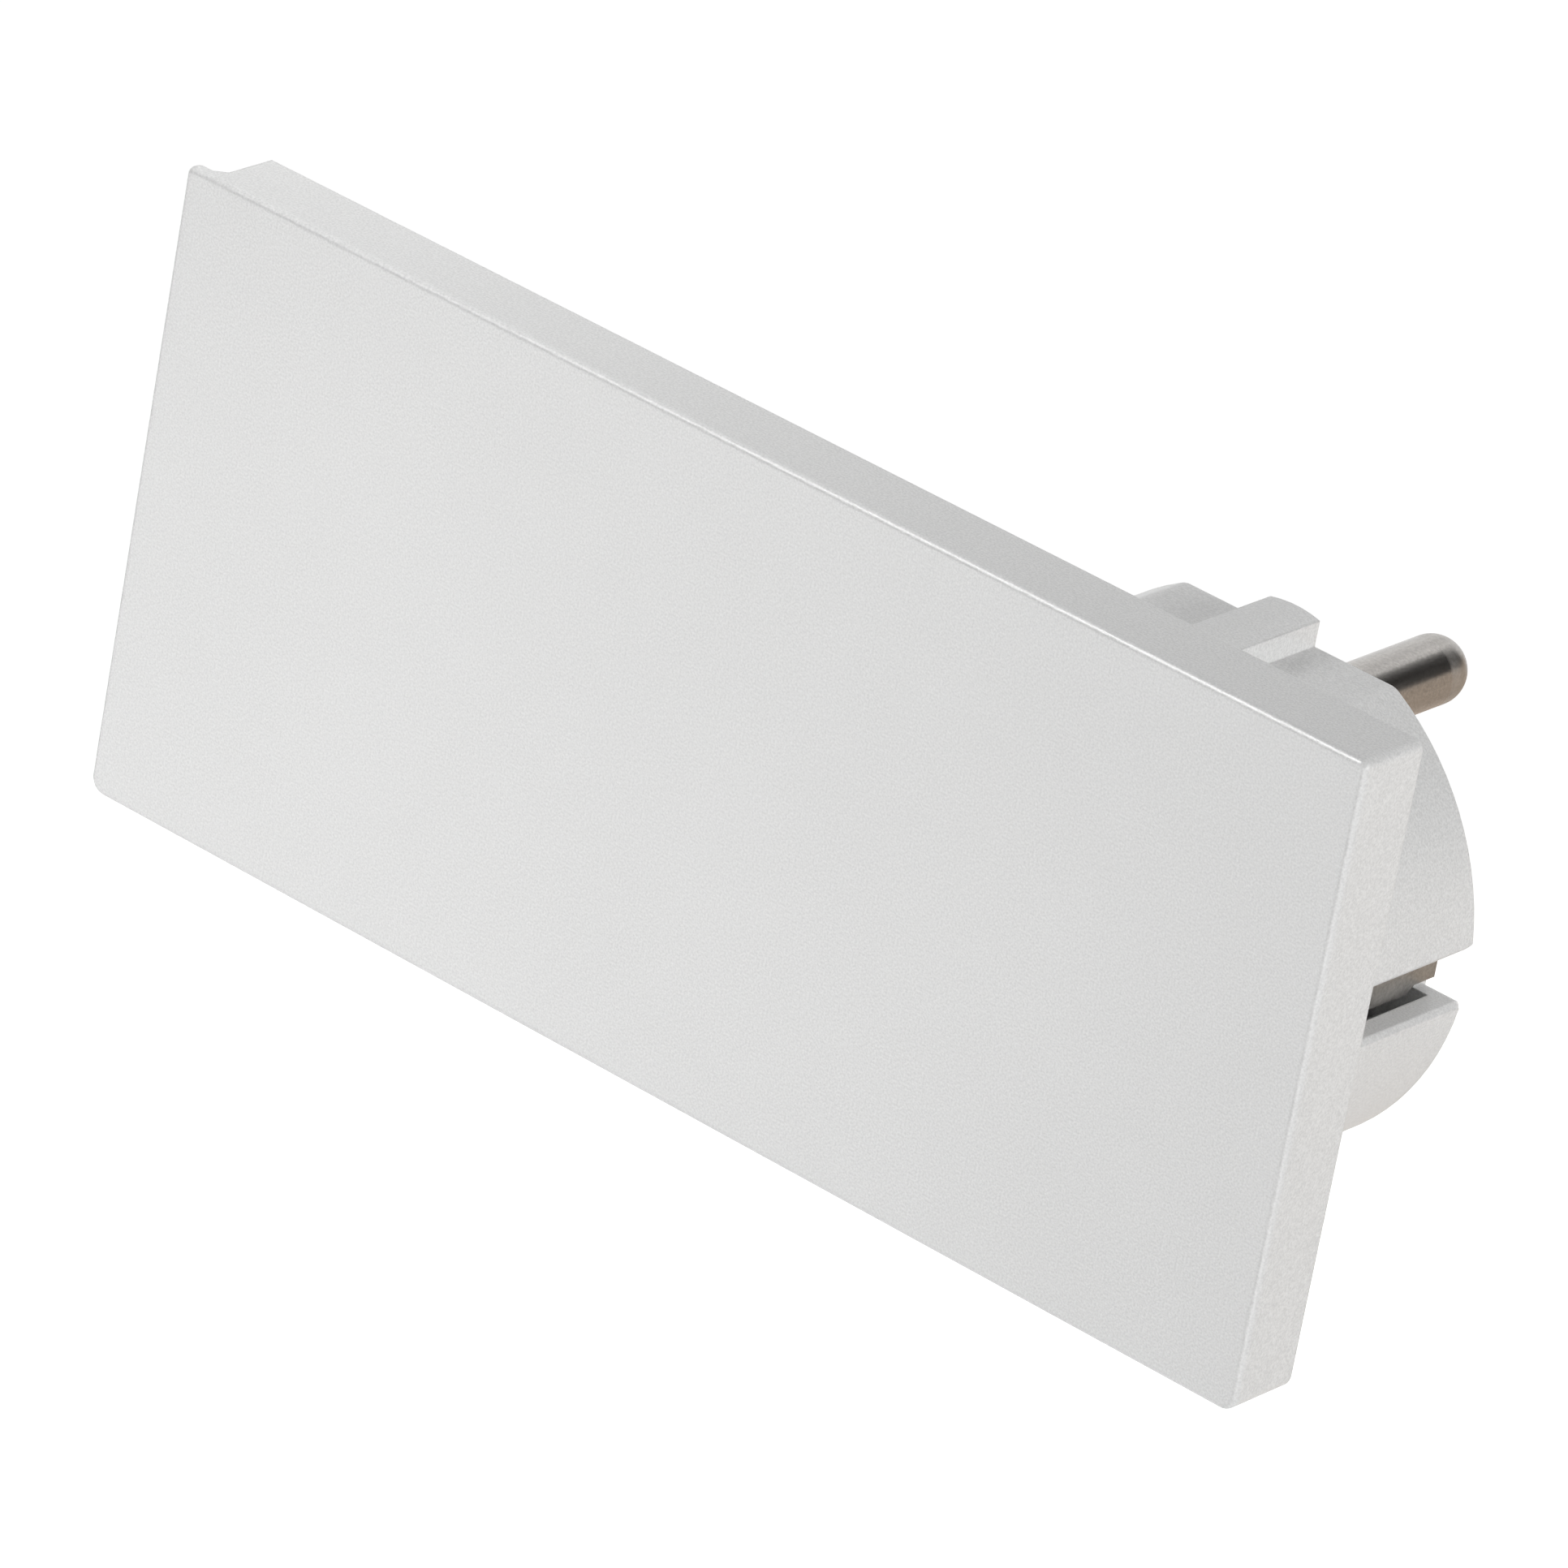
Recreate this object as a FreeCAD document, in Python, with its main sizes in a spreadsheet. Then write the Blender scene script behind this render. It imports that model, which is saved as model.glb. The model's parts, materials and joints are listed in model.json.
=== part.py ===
import FreeCAD, Part
import math
import os
import re
import Sketcher

# Flat low profile mains plug, earthed two-pin pattern.
# A long flat tray carries the round plug body on its rear, near its right end.
# Frame: the origin is on the plug's axis, in the plane of the plate's rear face.
# +X runs along the plate to its near end, +Y along the pins into the wall, +Z up. Millimetres.

# Driving dimensions: name, value, meaning
SIZES = {
    "plate_length": (100.0, "flat cover, end to end, with the lip"),
    "plate_height": (46.2, "flat cover, top to bottom"),
    "plate_depth": (6.0, "flat cover, front face to rear face"),
    "axis_to_end": (22.7, "plug axis to the near end of the cover"),
    "lip_overhang": (2.3, "lip that stands out past the far end wall"),
    "front_wall": (1.3, "front of the cover, and the lip"),
    "side_wall": (1.5, "walls round the cover"),
    "ledge_width": (0.7, "step inside the walls that the base rests on"),
    "top_corner_radius": (0.6, "outline corners at the top"),
    "bottom_corner_radius": (1.2, "outline corners at the bottom"),
    "front_edge_radius": (0.4, "edge round the front face"),
    "rear_edge_chamfer": (0.2, "edge round the rear of the cover"),
    "lip_tip_radius": (0.6, "rear edge of the lip"),
    "lip_root_chamfer": (0.3, "hollow where the lip meets the end wall"),
    "base_thickness": (1.4, "rear plate"),
    "base_clearance": (0.15, "rear plate to the walls round it"),
    "body_diameter": (37.1, "round plug body"),
    "body_depth": (17.4, "plug body, rear face of the plate to the plug face"),
    "flat_width": (32.8, "plug body across its two flats"),
    "rib_width": (4.1, "guide rib"),
    "rib_span": (37.0, "across both guide ribs"),
    "rib_crown_radius": (8.5, "rounded top of a guide rib"),
    "flat_edge_radius": (1.5, "edge between a flat and the round of the plug body"),
    "rim_chamfer": (0.5, "edge round the plug face"),
    "body_wall": (2.0, "wall of the hollow plug body"),
    "face_wall": (3.0, "wall of the plug face"),
    "slot_width": (3.7, "earth slot, top to bottom"),
    "slot_mouth_radius": (0.8, "lead-in of the earth slot at the plug face"),
    "slot_edge_chamfer": (0.4, "outer edges of the earth slots"),
    "channel_width": (6.2, "guide channel of the earth strip, top to bottom"),
    "channel_depth": (1.4, "guide channel of the earth strip, floor to lips"),
    "channel_length": (15.7, "guide channel, from the plate towards the plug face"),
    "channel_wall": (1.4, "wall between guide channel and hollow"),
    "window_width": (8.4, "window behind the springy part of the earth strip, top to bottom"),
    "window_start": (4.0, "window behind the earth strip, from the plate's rear face"),
    "strip_span": (32.0, "across the outsides of the earth strip's arms"),
    "strip_thickness": (0.8, "earth strip"),
    "strip_width": (3.3, "arm of the earth strip"),
    "bridge_width": (7.0, "bridge of the earth strip, between its arms"),
    "strip_bend_radius": (0.7, "outside of the earth strip's bends"),
    "tongue_width": (2.3, "narrow end of the earth strip's arm"),
    "tongue_length": (2.1, "narrow end of the earth strip's arm"),
    "tongue_taper": (0.8, "shoulder before the narrow end"),
    "tongue_setback": (0.4, "end of the earth strip to the plug face"),
    "pin_diameter": (4.8, "contact pin"),
    "pin_length": (19.0, "contact pin, plug face to tip"),
    "pin_spacing": (19.0, "between the axes of the contact pins"),
    "collar_diameter": (5.4, "thicker length of a contact pin inside the plug face"),
    "pin_clearance": (0.02, "contact pin's collar to its hole, on the radius"),
    "pin_boss_diameter": (10.0, "boss round a contact pin, inside"),
    "boss_length": (4.0, "bosses on the inside of the plug face"),
    "terminal_diameter": (8.0, "thick inner end of a contact pin"),
    "terminal_length": (7.0, "thick inner end of a contact pin"),
    "wire_hole_diameter": (3.4, "hole for the core, from the far side"),
    "clamp_screw_diameter": (3.0, "shank of the terminal screws and of the earth screw"),
    "clamp_head_diameter": (5.4, "head of the terminal screws and of the earth screw"),
    "clamp_head_height": (1.6, "head of the terminal screws and of the earth screw"),
    "terminal_screw_length": (3.5, "shank of the terminal screws"),
    "earth_screw_length": (4.6, "shank of the earth screw"),
    "driver_slot_width": (0.8, "slot for the screwdriver"),
    "driver_slot_depth": (0.7, "slot for the screwdriver"),
    "thread_clearance": (0.05, "screw shank to its hole, on the radius"),
    "sleeve_offset": (10.0, "plug axis to the earth-pin hole"),
    "sleeve_bore": (4.9, "bore of the earth sleeve"),
    "sleeve_diameter": (6.6, "outside of the earth sleeve"),
    "sleeve_floor": (2.2, "closed end of the earth sleeve"),
    "sleeve_clearance": (0.05, "earth sleeve to its seat, on the radius"),
    "sleeve_boss_diameter": (9.0, "boss round the earth sleeve"),
    "rivet_diameter": (4.0, "foot of the earth sleeve, riveted in the strip"),
    "face_hole_diameter": (5.6, "earth-pin hole in the plug face"),
    "earth_screw_offset": (6.5, "plug axis to the earth screw"),
    "washer_width": (6.0, "square clamp washer of the earth screw"),
    "washer_thickness": (0.6, "square clamp washer of the earth screw"),
    "nut_width": (5.5, "square nut of the earth screw"),
    "nut_thickness": (2.2, "square nut of the earth screw"),
    "screw_inset": (4.9, "cover screws, from the ends and edges of the tray"),
    "screw_diameter": (2.9, "shank of a cover screw"),
    "screw_length": (2.9, "shank of a cover screw past the base"),
    "screw_boss_diameter": (6.0, "post for a cover screw"),
    "screw_hole_diameter": (3.2, "hole for a cover screw in the base"),
    "countersink_diameter": (5.6, "rim of the countersink for a cover screw"),
    "countersink_clearance": (0.03, "cover screw's head to its countersink, on the radius"),
    "cross_width": (0.7, "arm of the cross recess in a cover screw"),
    "cross_span": (3.0, "cross recess, end to end"),
    "cross_depth": (0.7, "cross recess"),
    "inlet_width": (9.4, "cord inlet"),
    "inlet_sill": (0.5, "wall between cord inlet and rear face"),
    "inlet_radius": (0.6, "corners of the cord inlet at its sill"),
    "cord_bed_length": (13.0, "bed for the cord in the base, from the tray's end"),
    "grip_rib_width": (0.8, "cord grip rib"),
    "grip_rib_height": (0.5, "cord grip rib"),
    "grip_rib_pitch": (2.4, "between cord grip ribs"),
}
GRIP_RIBS = 3

# Places worked out from the driving dimensions
RIGHT = "axis_to_end"
LEFT = "(axis_to_end - plate_length)"
END = "(axis_to_end - plate_length + lip_overhang)"
TOP = "plate_height / 2"
CAVITY = "-(plate_depth - front_wall)"
SEAT = "-base_thickness"
FACE = "body_depth"
FACE_INSIDE = "(body_depth - face_wall)"
BOSS_END = "(body_depth - face_wall - boss_length)"
TERMINAL_END = "(body_depth - face_wall - boss_length - terminal_length)"
SLOT_FLOOR = "(strip_span / 2 - strip_thickness)"
BRIDGE_FRONT = "-(base_thickness + strip_thickness)"
STRIP_TIP = "(body_depth - tongue_setback)"
HOLLOW_HALF_WIDTH = "(strip_span / 2 - strip_thickness - channel_wall)"
HOLLOW_HALF_HEIGHT = "(flat_width / 2 - body_wall)"
HOLLOW_RADIUS = "(body_diameter / 2 - body_wall)"
SCREW_HEIGHT = "(plate_height / 2 - screw_inset)"
SCREW_COLUMNS = ("(axis_to_end - screw_inset)", "(axis_to_end - plate_length + lip_overhang + screw_inset)")

BEYOND = 1.0
TOUCH = 1e-4
NORMALS = {"XY_Plane": "+Z", "XZ_Plane": "-Y", "YZ_Plane": "+X"}

doc = FreeCAD.newDocument("flat_plug")
sheet = doc.addObject("Spreadsheet::Sheet", "Sizes")


def fill_sheet():
    """One row for each driving dimension: its name, its value and its meaning."""
    for row, (name, (value, meaning)) in enumerate(SIZES.items(), start=1):
        sheet.set("A%d" % row, name)
        sheet.set("B%d" % row, str(value))
        sheet.setAlias("B%d" % row, name)
        sheet.set("C%d" % row, meaning)
    doc.recompute()


def size(name):
    """Value of a driving dimension, for the choice of edges and for first guesses in sketches."""
    return float(sheet.get(name))


def bound(text):
    """Expression in which each driving dimension's name points at its cell."""
    return re.sub("|".join(r"\b%s\b" % name for name in SIZES), r"Sizes.\g<0>", text)


def corner(across, up):
    """Point of a sketch at two bound distances, as a first guess."""
    return FreeCAD.Vector(sheet.evalExpression(bound(across)), sheet.evalExpression(bound(up)), 0)


def new_body(label):
    body = doc.addObject("PartDesign::Body", label)
    body.Label = label
    return body


def new_sketch(body, name, role, level="0"):
    """Sketch parallel to one of the body's own planes, at a level along the plane's row axis."""
    sketch = body.newObject("Sketcher::SketchObject", name)
    plane = next(feature for feature in body.Origin.OriginFeatures if feature.Role == role)
    sketch.AttachmentSupport = (plane, [""])
    sketch.MapMode = "FlatFace"
    sign = "-" if NORMALS[role].startswith("-") else ""
    sketch.setExpression("AttachmentOffset.Base.z", bound("%s(%s)" % (sign, level)))
    return sketch


def bind(sketch, kind, element, point, distance):
    """Holds a point of the sketch at a bound distance from the sketch's origin."""
    guess = sketch.getPoint(element, point)
    start = guess.x if kind == "DistanceX" else guess.y
    index = sketch.addConstraint(Sketcher.Constraint(kind, -1, 1, element, point, start))
    sketch.setExpression("Constraints[%d]" % index, bound(distance))


def outline(sketch, points):
    """Closed outline of straight lines through points at bound distances from the origin."""
    first = sketch.GeometryCount
    count = len(points)
    guess = [corner(across, up) for across, up in points]
    for i in range(count):
        sketch.addGeometry(Part.LineSegment(guess[i], guess[(i + 1) % count]))
    for i in range(count):
        sketch.addConstraint(Sketcher.Constraint("Coincident", first + i, 2, first + (i + 1) % count, 1))
    for i, (across, up) in enumerate(points):
        bind(sketch, "DistanceX", first + i, 1, across)
        bind(sketch, "DistanceY", first + i, 1, up)


def rectangle(sketch, left, right, low, high):
    outline(sketch, [(left, low), (right, low), (right, high), (left, high)])


def circle(sketch, across, up, diameter):
    index = sketch.addGeometry(Part.Circle(FreeCAD.Vector(0, 0, 0), FreeCAD.Vector(0, 0, 1), 1.0))
    datum = sketch.addConstraint(Sketcher.Constraint("Diameter", index, 1.0))
    sketch.setExpression("Constraints[%d]" % datum, bound(diameter))
    bind(sketch, "DistanceX", index, 3, across)
    bind(sketch, "DistanceY", index, 3, up)


def volume(body):
    return body.Tip.Shape.Volume if body.Tip else 0.0


def add(body, name, sketch, length, towards):
    """Pad that grows the body from the sketch, towards one of the row axes."""
    before = volume(body)
    pad = body.newObject("PartDesign::Pad", name)
    pad.Profile = sketch
    pad.setExpression("Length", bound(length))
    if towards == "both":
        pad.SideType = "Symmetric"
    else:
        pad.Reversed = towards != NORMALS[plane_role(sketch)]
    doc.recompute()
    if not volume(body) > before:
        raise RuntimeError("%s of %s adds nothing" % (name, body.Label))


def cut(body, name, sketch, length, towards):
    """Pocket that cuts the body from the sketch, towards one of the row axes."""
    before = volume(body)
    pocket = body.newObject("PartDesign::Pocket", name)
    pocket.Profile = sketch
    pocket.setExpression("Length", bound(length))
    if towards == "both":
        pocket.SideType = "Symmetric"
    else:
        pocket.Reversed = towards == NORMALS[plane_role(sketch)]
    doc.recompute()
    if not volume(body) < before:
        raise RuntimeError("%s of %s cuts nothing" % (name, body.Label))


def plane_role(sketch):
    return sketch.AttachmentSupport[0][0].Role


def lies(edge, x=None, y=None, z=None):
    """True for an edge that lies wholly at the given coordinates."""
    box = edge.BoundBox
    spans = ((x, box.XMin, box.XMax), (y, box.YMin, box.YMax), (z, box.ZMin, box.ZMax))
    return all(at is None or (abs(low - at) < TOUCH and abs(high - at) < TOUCH) for at, low, high in spans)


def dress(body, kind, name, amount, choose):
    """Fillet or chamfer of the edges that the choice picks from the body as it stands."""
    base = body.Tip
    names = ["Edge%d" % number for number, edge in enumerate(base.Shape.Edges, start=1) if choose(edge)]
    if not names:
        raise RuntimeError("%s of %s finds no edge" % (name, body.Label))
    feature = body.newObject("PartDesign::" + kind, name)
    feature.Base = (base, names)
    feature.setExpression("Radius" if kind == "Fillet" else "Size", bound(amount))
    doc.recompute()


def revolve(body, name, sketch):
    """Solid of revolution about the sketch's upright axis."""
    turned = body.newObject("PartDesign::Revolution", name)
    turned.Profile = sketch
    turned.ReferenceAxis = (sketch, ["V_Axis"])
    turned.Angle = 360.0
    doc.recompute()


def place(body, x="0", y="0", z="0"):
    for axis, distance in (("x", x), ("y", y), ("z", z)):
        body.setExpression("Placement.Base." + axis, bound(distance))
    doc.recompute()


def cover_screw_circles(sketch, diameter):
    for column in SCREW_COLUMNS:
        for row in ("-", ""):
            circle(sketch, column, row + SCREW_HEIGHT, diameter)


def make_front_cover():
    """Tray in one piece: front, walls, lip at the far end, screw posts and cord inlet."""
    cover = new_body("front_cover")
    right, left = size("axis_to_end"), size("axis_to_end") - size("plate_length")
    end, top = left + size("lip_overhang"), size("plate_height") / 2
    front, cavity = -size("plate_depth"), size("front_wall") - size("plate_depth")

    block = new_sketch(cover, "cover_outline", "XZ_Plane", "-plate_depth")
    rectangle(block, LEFT, RIGHT, "-" + TOP, TOP)
    add(cover, "cover_block", block, "plate_depth", "+Y")
    for name, height in (("top", top), ("bottom", -top)):
        dress(cover, "Fillet", name + "_corners", name + "_corner_radius",
              lambda edge: lies(edge, x=left, z=height) or lies(edge, x=right, z=height))
    dress(cover, "Fillet", "front_edge", "front_edge_radius", lambda edge: lies(edge, y=front))

    notch = new_sketch(cover, "lip_notch_outline", "XY_Plane")
    rectangle(notch, LEFT + " - %g" % BEYOND, END, CAVITY, "%g" % BEYOND)
    cut(cover, "lip_notch", notch, "2 * plate_height", "both")
    dress(cover, "Chamfer", "lip_root", "lip_root_chamfer", lambda edge: lies(edge, x=end, y=cavity))
    dress(cover, "Fillet", "lip_tip", "lip_tip_radius", lambda edge: lies(edge, x=left, y=cavity))
    dress(cover, "Chamfer", "rear_edge", "rear_edge_chamfer", lambda edge: lies(edge, y=0))

    inside = new_sketch(cover, "cavity_outline", "XZ_Plane")
    step = "(side_wall + ledge_width)"
    inside_top = "(%s - %s)" % (TOP, step)
    rectangle(inside, END + " + " + step, RIGHT + " - " + step, "-" + inside_top, inside_top)
    cut(cover, "cavity", inside, "plate_depth - front_wall", "-Y")
    seat = new_sketch(cover, "base_seat_outline", "XZ_Plane")
    seat_top = "(%s - side_wall)" % TOP
    rectangle(seat, END + " + side_wall", RIGHT + " - side_wall", "-" + seat_top, seat_top)
    cut(cover, "base_seat", seat, "base_thickness", "-Y")

    posts = new_sketch(cover, "screw_post_circles", "XZ_Plane", CAVITY)
    cover_screw_circles(posts, "screw_boss_diameter")
    add(cover, "screw_posts", posts, "plate_depth - front_wall - base_thickness", "+Y")
    pilots = new_sketch(cover, "pilot_hole_circles", "XZ_Plane", SEAT)
    cover_screw_circles(pilots, "screw_diameter + 2 * thread_clearance")
    cut(cover, "pilot_holes", pilots, "screw_length + thread_clearance", "-Y")

    inlet = new_sketch(cover, "cord_inlet_outline", "YZ_Plane", LEFT)
    rectangle(inlet, CAVITY, "-inlet_sill", "-inlet_width / 2", "inlet_width / 2")
    cut(cover, "cord_inlet", inlet, "lip_overhang + side_wall + ledge_width", "+X")
    sill, half = -size("inlet_sill"), size("inlet_width") / 2
    dress(cover, "Fillet", "cord_inlet_corners", "inlet_radius",
          lambda edge: lies(edge, y=sill, z=half) or lies(edge, y=sill, z=-half))
    return cover


def make_plug_base():
    """Rear plate in one piece with the hollow plug body, its guide ribs and its earth slots."""
    base = new_body("plug_base")
    radius, flat, face = size("body_diameter") / 2, size("flat_width") / 2, size("body_depth")
    chord = math.sqrt(radius ** 2 - flat ** 2)

    gap = "(side_wall + base_clearance)"
    plate_top = "(%s - %s)" % (TOP, gap)
    plate = new_sketch(base, "plate_outline", "XZ_Plane", SEAT)
    rectangle(plate, END + " + " + gap, RIGHT + " - " + gap, "-" + plate_top, plate_top)
    add(base, "plate", plate, "base_thickness", "+Y")

    barrel = new_sketch(base, "barrel_circle", "XZ_Plane")
    circle(barrel, "0", "0", "body_diameter")
    add(base, "barrel", barrel, "body_depth", "+Y")
    flats = new_sketch(base, "flats_outline", "XZ_Plane")
    for sign in ("", "-"):
        rectangle(flats, "-body_diameter", "body_diameter", sign + "flat_width / 2", sign + "body_diameter")
    cut(base, "flats", flats, "body_depth", "+Y")
    dress(base, "Fillet", "flat_edges", "flat_edge_radius",
          lambda edge: any(lies(edge, x=a * chord, z=b * flat) for a in (-1, 1) for b in (-1, 1)))
    ribs = new_sketch(base, "guide_ribs_outline", "XZ_Plane")
    rib_outline(ribs)
    add(base, "guide_ribs", ribs, "body_depth", "+Y")

    dress(base, "Chamfer", "rim", "rim_chamfer", lambda edge: lies(edge, y=face))
    cut_earth_slots(base)
    dress(base, "Chamfer", "slot_edges", "slot_edge_chamfer", on_slot_edge)
    cut_channels(base)
    hollow_body(base)
    cut_pin_holes(base)
    finish_plate(base)
    return base


def rib_outline(sketch):
    """Both guide ribs seen along the pins: straight sides and rounded tops."""
    half, crown = size("rib_width") / 2, size("rib_crown_radius")
    drop = "(rib_crown_radius - sqrt(rib_crown_radius ^ 2 - rib_width ^ 2 / 4))"
    shoulder = "(rib_span / 2 - %s)" % drop
    right, left = "rib_width / 2", "-rib_width / 2"
    ends = [((right, "-" + shoulder), (right, shoulder)), ((left, shoulder), (left, "-" + shoulder))]
    sides = [sketch.addGeometry(Part.LineSegment(corner(*a), corner(*b))) for a, b in ends]
    lean = math.asin(half / crown)
    for number, (sign, upwards) in enumerate((("", math.pi / 2), ("-", -math.pi / 2))):
        middle = sign + "(rib_span / 2 - rib_crown_radius)"
        top = Part.Circle(corner("0", middle), FreeCAD.Vector(0, 0, 1), crown)
        arc = sketch.addGeometry(Part.ArcOfCircle(top, upwards - lean, upwards + lean))
        sketch.addConstraint(Sketcher.Constraint("Coincident", sides[number], 2, arc, 1))
        sketch.addConstraint(Sketcher.Constraint("Coincident", arc, 2, sides[1 - number], 1))
        bind(sketch, "DistanceY", arc, 3, middle)
    for side, (start, stop) in zip(sides, ends):
        for point, (across, up) in ((1, start), (2, stop)):
            bind(sketch, "DistanceX", side, point, across)
            bind(sketch, "DistanceY", side, point, up)


def on_slot_edge(edge):
    """True for the outer edges of the earth slots, where they cut the round of the plug body."""
    box, radius = edge.BoundBox, size("body_diameter") / 2
    mouth = size("slot_width") / 2 + size("slot_mouth_radius") + TOUCH
    if max(box.ZMax, -box.ZMin) > mouth:
        return False
    return all(abs(math.hypot(point.x, point.z) - radius) < TOUCH for point in edge.discretize(3))


def slot_profile(sketch):
    """Earth slot seen from its side: parallel, with a rounded lead-in at the plug face."""
    face, half, mouth = size("body_depth"), size("slot_width") / 2, size("slot_mouth_radius")
    quarter = math.pi / 2
    up = FreeCAD.Vector(0, 0, 1)
    low_circle = Part.Circle(FreeCAD.Vector(face - mouth, -half - mouth, 0), up, mouth)
    high_circle = Part.Circle(FreeCAD.Vector(face - mouth, half + mouth, 0), up, mouth)
    low_arc = Part.ArcOfCircle(low_circle, 0, quarter)
    high_arc = Part.ArcOfCircle(high_circle, -quarter, 0)
    corners = [(0, -half), (face - mouth, -half), (face, -half - mouth),
               (face, half + mouth), (face - mouth, half), (0, half)]
    points = [FreeCAD.Vector(across, along, 0) for across, along in corners]
    low, shut, high, back = [sketch.addGeometry(Part.LineSegment(points[a], points[b]))
                             for a, b in ((0, 1), (2, 3), (4, 5), (5, 0))]
    arcs = [sketch.addGeometry(arc) for arc in (low_arc, high_arc)]
    joins = ((low, 2, arcs[0], 2), (arcs[0], 1, shut, 1), (shut, 2, arcs[1], 2), (arcs[1], 1, high, 1),
             (high, 2, back, 1), (back, 2, low, 1))
    for join in joins:
        sketch.addConstraint(Sketcher.Constraint("Coincident", *join))
    bind(sketch, "DistanceX", low, 1, "0")
    bind(sketch, "DistanceY", low, 1, "-slot_width / 2")
    bind(sketch, "DistanceX", high, 2, "0")
    bind(sketch, "DistanceY", high, 2, "slot_width / 2")
    for arc, sign in zip(arcs, ("-", "")):
        bind(sketch, "DistanceX", arc, 3, FACE + " - slot_mouth_radius")
        bind(sketch, "DistanceY", arc, 3, sign + "(slot_width / 2 + slot_mouth_radius)")
    for line, point, sign in ((low, 2, "-"), (high, 1, "")):
        bind(sketch, "DistanceX", line, point, FACE + " - slot_mouth_radius")
        bind(sketch, "DistanceY", line, point, sign + "slot_width / 2")
    for point, sign in ((1, "-"), (2, "")):
        bind(sketch, "DistanceY", shut, point, sign + "(slot_width / 2 + slot_mouth_radius)")


def cut_earth_slots(base):
    """A slot down each side of the plug body, open at the plug face."""
    for side, sign in (("near", ""), ("far", "-")):
        slot = new_sketch(base, side + "_slot_profile", "YZ_Plane", sign + SLOT_FLOOR)
        slot_profile(slot)
        cut(base, side + "_slot", slot, "body_diameter", "-X" if sign else "+X")


def cut_channels(base):
    """Behind each slot's lips the wider channel of the earth strip, and behind the strip a window."""
    channels = new_sketch(base, "channel_outlines", "XZ_Plane", SEAT)
    for sign in ("", "-"):
        rectangle(channels, sign + SLOT_FLOOR, "%s(%s + channel_depth)" % (sign, SLOT_FLOOR),
                  "-channel_width / 2", "channel_width / 2")
    cut(base, "channels", channels, "base_thickness + channel_length", "+Y")
    windows = new_sketch(base, "window_outlines", "XZ_Plane", "window_start")
    for sign in ("", "-"):
        rectangle(windows, sign + HOLLOW_HALF_WIDTH, sign + SLOT_FLOOR,
                  "-window_width / 2", "window_width / 2")
    cut(base, "windows", windows, "channel_length - window_start", "+Y")


def hollow_body(base):
    """Hollow for the terminals, open to the tray, with bosses on the inside of the plug face."""
    across = "sqrt(%s ^ 2 - %s ^ 2)" % (HOLLOW_RADIUS, HOLLOW_HALF_HEIGHT)
    along = "sqrt(%s ^ 2 - %s ^ 2)" % (HOLLOW_RADIUS, HOLLOW_HALF_WIDTH)
    quarter = [(HOLLOW_HALF_WIDTH, along), (across, HOLLOW_HALF_HEIGHT)]
    corners = quarter + [("-" + x, z) for x, z in reversed(quarter)]
    corners += [("-" + x, "-" + z) for x, z in quarter] + [(x, "-" + z) for x, z in reversed(quarter)]
    hollow = new_sketch(base, "hollow_outline", "XZ_Plane", SEAT)
    outline(hollow, corners)
    cut(base, "hollow", hollow, "base_thickness + " + FACE_INSIDE, "+Y")
    bosses = new_sketch(base, "boss_circles", "XZ_Plane", FACE_INSIDE)
    for sign in ("", "-"):
        circle(bosses, "0", sign + "pin_spacing / 2", "pin_boss_diameter")
    circle(bosses, "sleeve_offset", "0", "sleeve_boss_diameter")
    add(base, "bosses", bosses, "boss_length", "-Y")


def cut_pin_holes(base):
    """Holes of the contact pins, and the stepped hole of the earth sleeve."""
    pins = new_sketch(base, "pin_hole_circles", "XZ_Plane", FACE)
    for sign in ("", "-"):
        circle(pins, "0", sign + "pin_spacing / 2", "collar_diameter + 2 * pin_clearance")
    cut(base, "pin_holes", pins, "face_wall + boss_length", "-Y")
    earth = new_sketch(base, "earth_hole_circle", "XZ_Plane", FACE)
    circle(earth, "sleeve_offset", "0", "face_hole_diameter")
    cut(base, "earth_hole", earth, "face_wall", "-Y")
    seat = new_sketch(base, "sleeve_seat_circle", "XZ_Plane", BOSS_END)
    circle(seat, "sleeve_offset", "0", "sleeve_diameter + 2 * sleeve_clearance")
    cut(base, "sleeve_seat", seat, "boss_length", "+Y")


def finish_plate(base):
    """Countersunk screw holes, and the bed with grip ribs where the cord comes in."""
    holes = new_sketch(base, "screw_hole_circles", "XZ_Plane")
    cover_screw_circles(holes, "screw_hole_diameter")
    cut(base, "screw_holes", holes, "base_thickness", "-Y")
    radius = size("screw_hole_diameter") / 2
    dress(base, "Chamfer", "countersinks", "(countersink_diameter - screw_hole_diameter) / 2",
          lambda edge: lies(edge, y=0) and abs(getattr(edge.Curve, "Radius", 0) - radius) < TOUCH)

    bed = new_sketch(base, "cord_bed_outline", "XZ_Plane", SEAT)
    rectangle(bed, END, END + " + cord_bed_length", "-inlet_width / 2", "inlet_width / 2")
    cut(base, "cord_bed", bed, "base_thickness - inlet_sill", "+Y")
    ribs = new_sketch(base, "grip_rib_outlines", "XZ_Plane", "-inlet_sill")
    for number in range(GRIP_RIBS):
        start = "%s + cord_bed_length - grip_rib_width - %d * grip_rib_pitch" % (END, number)
        rectangle(ribs, start, start + " + grip_rib_width", "-inlet_width / 2", "inlet_width / 2")
    add(base, "grip_ribs", ribs, "grip_rib_height", "-Y")


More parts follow.
